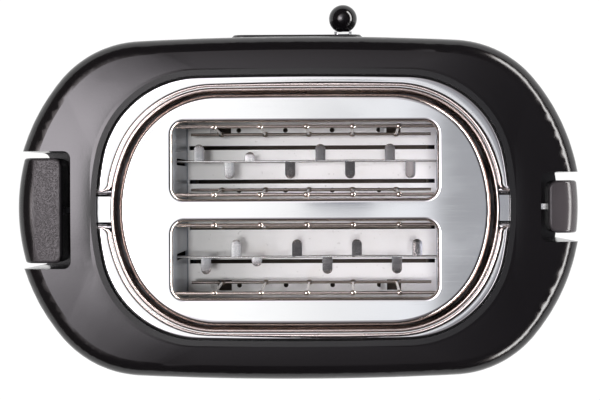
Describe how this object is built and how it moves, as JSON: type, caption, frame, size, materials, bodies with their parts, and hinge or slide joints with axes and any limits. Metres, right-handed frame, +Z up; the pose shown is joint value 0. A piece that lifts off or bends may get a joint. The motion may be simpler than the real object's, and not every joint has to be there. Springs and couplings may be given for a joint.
{
  "type": "toaster",
  "caption": "Two slot toaster: black stadium shaped shell, recessed bright ring with folding bun rack hoops, steel slot panel, end levers, browning slider, buttons and crumb tray",
  "frame": {"origin": "under the middle of the whole object's box, on the surface that it stands on", "axes": "+X towards the bun rack lever, -Y towards the control plate, +Z up"},
  "size_m": [0.3004, 0.2028, 0.195],
  "materials": {
    "shell_plastic": "polished black moulding",
    "base_plastic": "fine matt black moulding",
    "foot_rubber": "dull dark rubber",
    "screw_steel": "zinc plated",
    "ring_chrome": "bright plated",
    "panel_steel": "mirror polished steel",
    "hoop_chrome": "bright plated",
    "chamber_steel": "plain bright sheet",
    "guard_wire": "plated wire",
    "heater_mica": "pale mica sheet",
    "heater_ribbon": "oxidised resistance ribbon",
    "carriage_steel": "plated sheet",
    "lift_lever_plastic": "polished black moulding",
    "rack_lever_plastic": "grained dark moulding",
    "frame_steel": "plated steel",
    "spring_steel": "spring wire",
    "magnet_iron": "plated core",
    "coil_copper": "enamelled copper",
    "circuit_board": "green board",
    "part_plastic": "dark component bodies",
    "plate_plastic": "dark glossy plate",
    "trim_chrome": "bright plated",
    "fork_metal": "bright plated",
    "ball_plastic": "polished black ball",
    "button_plastic": "polished dark buttons",
    "tray_steel": "plain sheet",
    "door_plastic": "matt black moulding",
    "gland_rubber": "black bush"
  },
  "bodies": {
    "root": {"outer_shell": "shell_plastic", "base_tray": "base_plastic", "rubber_feet": "foot_rubber", "base_screws": "screw_steel", "bezel_ring": "ring_chrome", "hoop_pivots": "ring_chrome", "slot_panel": "panel_steel", "chamber_floor": "chamber_steel", "front_reflector": "chamber_steel", "back_reflector": "chamber_steel", "rack_end_wall": "chamber_steel", "lift_end_wall": "chamber_steel", "front_heater_board": "heater_mica", "centre_heater_board": "heater_mica", "back_heater_board": "heater_mica", "front_heater_ribbon": "heater_ribbon", "centre_heater_ribbon": "heater_ribbon", "back_heater_ribbon": "heater_ribbon", "guide_rods": "frame_steel", "rod_bridge": "frame_steel", "rack_rod": "frame_steel", "rack_bridge": "frame_steel", "front_lift_spring": "spring_steel", "back_lift_spring": "spring_steel", "magnet_core": "magnet_iron", "magnet_coils": "coil_copper", "main_board": "circuit_board", "control_board": "circuit_board", "main_board_parts": "part_plastic", "power_switch": "part_plastic", "button_switches": "part_plastic", "browning_resistor": "part_plastic", "control_plate": "plate_plastic", "plate_trim": "trim_chrome", "cord_gland": "gland_rubber"},
    "bread_carriage": {"front_bread_strip": "carriage_steel", "back_bread_strip": "carriage_steel", "lift_bracket": "carriage_steel", "lift_arm": "carriage_steel", "armature_plate": "carriage_steel", "lift_lever": "lift_lever_plastic"},
    "rack_handle": {"rack_lever": "rack_lever_plastic", "rack_slide": "frame_steel"},
    "front_hoop_body": {"front_hoop": "hoop_chrome"},
    "back_hoop_body": {"back_hoop": "hoop_chrome"},
    "browning_slider": {"browning_fork": "fork_metal", "browning_ball": "ball_plastic"},
    "crumb_drawer": {"crumb_tray": "tray_steel", "tray_door": "door_plastic"},
    "front_slot_front_guard_body": {"front_slot_front_guard": "guard_wire"},
    "front_slot_back_guard_body": {"front_slot_back_guard": "guard_wire"},
    "back_slot_front_guard_body": {"back_slot_front_guard": "guard_wire"},
    "back_slot_back_guard_body": {"back_slot_back_guard": "guard_wire"},
    "cancel_button_body": {"cancel_button": "button_plastic"},
    "reheat_button_body": {"reheat_button": "button_plastic"},
    "defrost_button_body": {"defrost_button": "button_plastic"}
  },
  "joints": [
    {"name": "lift_slide", "type": "slide", "parent": "root", "child": "bread_carriage", "axis": [0, 0, -1], "range_m": [0, 0.074], "stiffness_N_per_m": 60, "springref_m": -0.05, "deforming": ["front_lift_spring", "back_lift_spring"]},
    {"name": "rack_lever_slide", "type": "slide", "parent": "root", "child": "rack_handle", "axis": [0, 0, -1], "range_m": [0, 0.025]},
    {"name": "browning_slide", "type": "slide", "parent": "root", "child": "browning_slider", "axis": [1, 0, 0], "range_m": [0, 0.0492]},
    {"name": "crumb_drawer_slide", "type": "slide", "parent": "root", "child": "crumb_drawer", "axis": [0, 1, 0], "range_m": [0, 0.13]},
    {"name": "front_hoop_hinge", "type": "hinge", "parent": "root", "child": "front_hoop_body", "pos_m": [-0.0037, 0.00128, 0.1872], "axis": [-1, 0, 0], "range_deg": [0, 52]},
    {"name": "back_hoop_hinge", "type": "hinge", "parent": "root", "child": "back_hoop_body", "pos_m": [-0.0037, 0.02007, 0.1872], "axis": [1, 0, 0], "range_deg": [0, 52]},
    {"name": "front_slot_front_guard_hinge", "type": "hinge", "parent": "root", "child": "front_slot_front_guard_body", "pos_m": [-0.006, -0.03313, 0.179], "axis": [1, 0, 0], "range_deg": [0, 4.5]},
    {"name": "front_slot_back_guard_hinge", "type": "hinge", "parent": "root", "child": "front_slot_back_guard_body", "pos_m": [-0.006, 0.00328, 0.179], "axis": [-1, 0, 0], "range_deg": [0, 4.5]},
    {"name": "back_slot_front_guard_hinge", "type": "hinge", "parent": "root", "child": "back_slot_front_guard_body", "pos_m": [-0.006, 0.01937, 0.179], "axis": [1, 0, 0], "range_deg": [0, 4.5]},
    {"name": "back_slot_back_guard_hinge", "type": "hinge", "parent": "root", "child": "back_slot_back_guard_body", "pos_m": [-0.006, 0.05577, 0.179], "axis": [-1, 0, 0], "range_deg": [0, 4.5]},
    {"name": "cancel_button_press", "type": "slide", "parent": "root", "child": "cancel_button_body", "axis": [0, 1, 0], "range_m": [0, 0.002], "stiffness_N_per_m": 400, "springref_m": -0.002},
    {"name": "reheat_button_press", "type": "slide", "parent": "root", "child": "reheat_button_body", "axis": [0, 1, 0], "range_m": [0, 0.002], "stiffness_N_per_m": 400, "springref_m": -0.002},
    {"name": "defrost_button_press", "type": "slide", "parent": "root", "child": "defrost_button_body", "axis": [0, 1, 0], "range_m": [0, 0.002], "stiffness_N_per_m": 400, "springref_m": -0.002}
  ],
  "couplings": [
    {"joint": "front_hoop_hinge", "follows": "rack_lever_slide", "rad_per_m": 36},
    {"joint": "back_hoop_hinge", "follows": "rack_lever_slide", "rad_per_m": 36},
    {"joint": "front_slot_front_guard_hinge", "follows": "lift_slide", "rad_per_m": 1.06},
    {"joint": "front_slot_back_guard_hinge", "follows": "lift_slide", "rad_per_m": 1.06},
    {"joint": "back_slot_front_guard_hinge", "follows": "lift_slide", "rad_per_m": 1.06},
    {"joint": "back_slot_back_guard_hinge", "follows": "lift_slide", "rad_per_m": 1.06}
  ]
}
